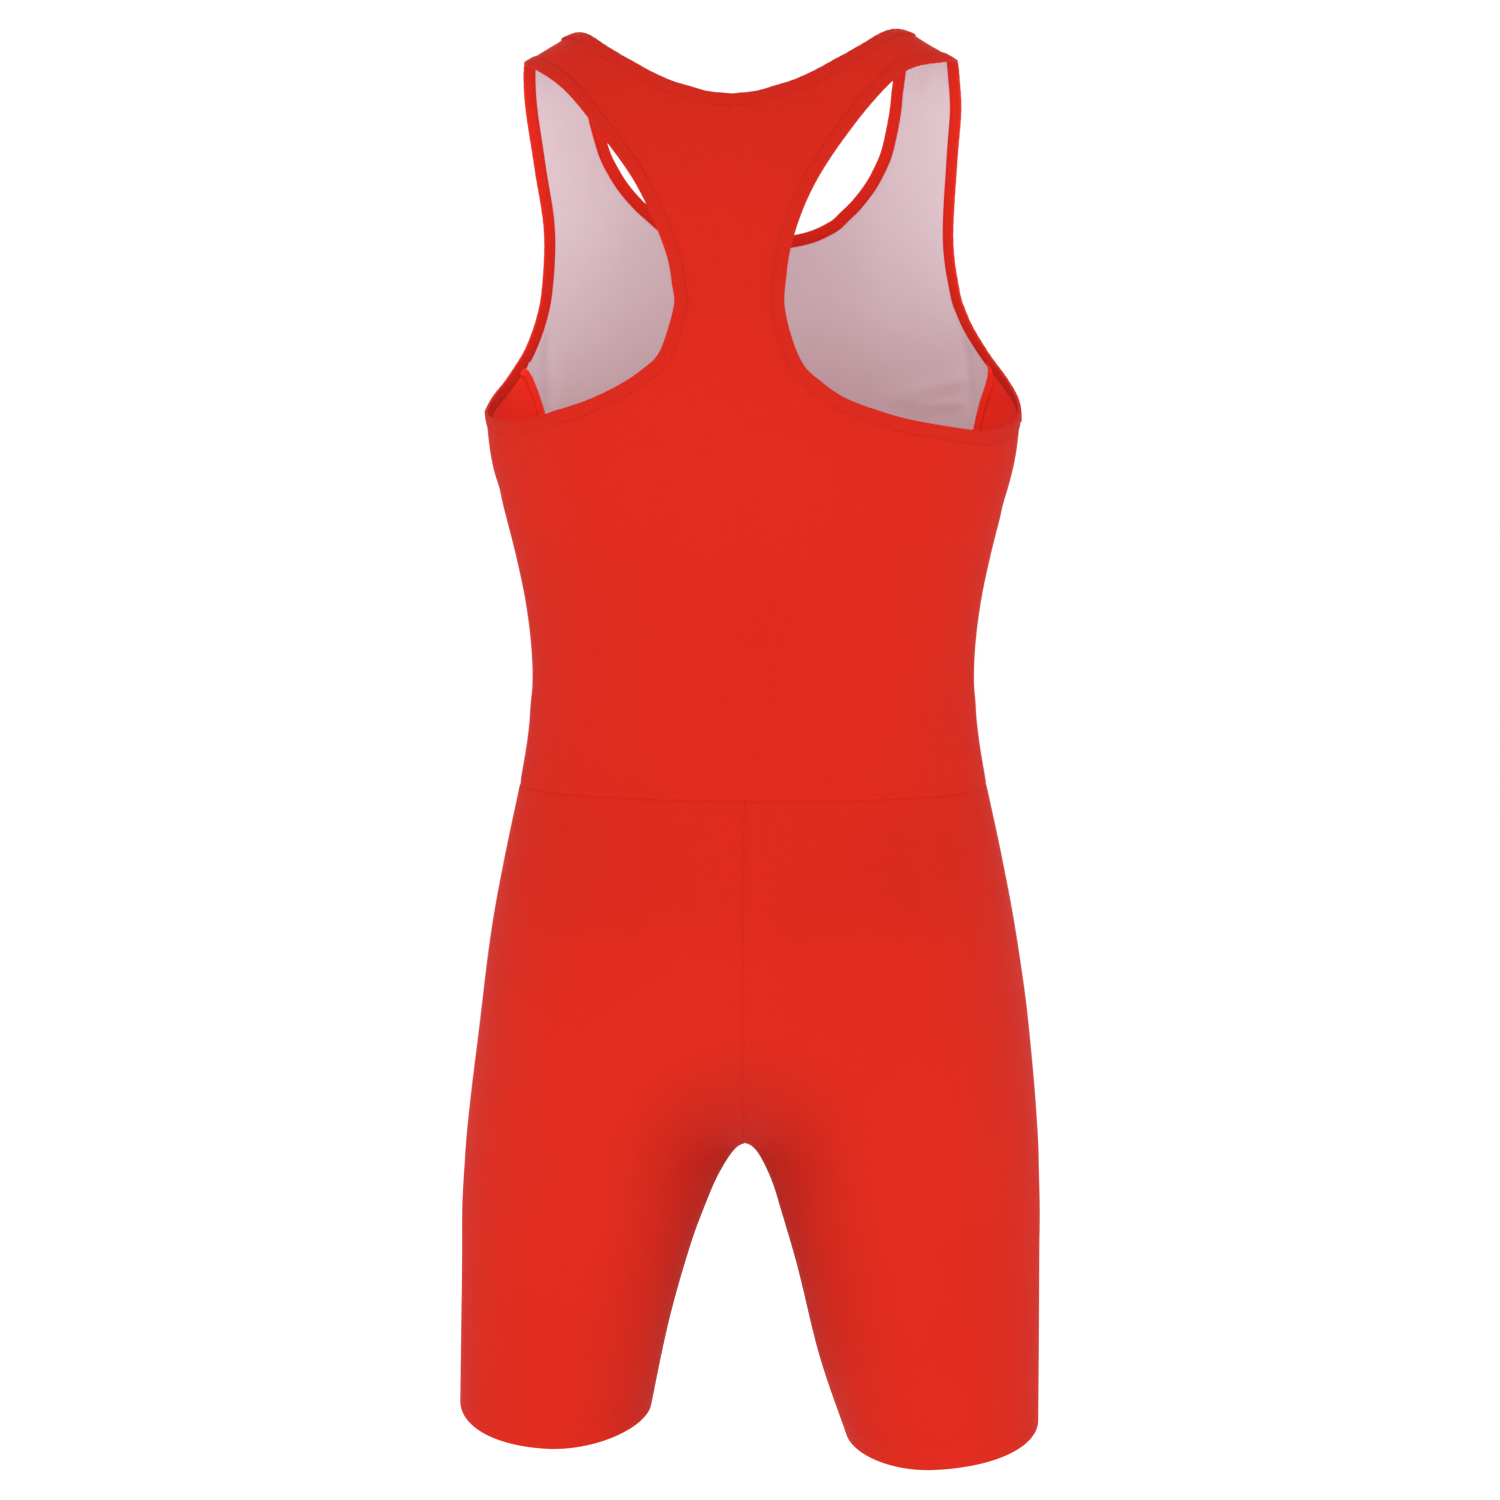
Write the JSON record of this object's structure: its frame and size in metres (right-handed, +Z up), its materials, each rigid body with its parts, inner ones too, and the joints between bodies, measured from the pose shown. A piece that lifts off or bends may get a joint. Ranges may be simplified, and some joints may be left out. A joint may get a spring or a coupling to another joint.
{
  "type": "racerback sprint suit",
  "caption": "Red one-piece racerback sprint suit with short legs, bound neck and armholes and a pale-backed front, open and filled out as worn.",
  "frame": {"origin": "middle of the shoulder line on the centre plane, at the base of the wearer's neck, where the suit hangs from the shoulders", "axes": "+Z up, -Y towards the suit's front, +X towards the wearer's left"},
  "size_m": [0.378, 0.2425, 0.8887],
  "materials": {
    "front_knit": "smooth stretch knit, red outside with a pale grey-pink inner face",
    "red_knit": "smooth matt stretch knit, bright red on both faces",
    "binding": "folded strip of the red knit with a topstitched seam"
  },
  "bodies": {
    "root": {"front": "front_knit", "back": "red_knit", "leg_left": "red_knit", "leg_right": "red_knit", "neck_binding": "binding", "armhole_binding_left": "binding", "armhole_binding_right": "binding"}
  },
  "joints": []
}
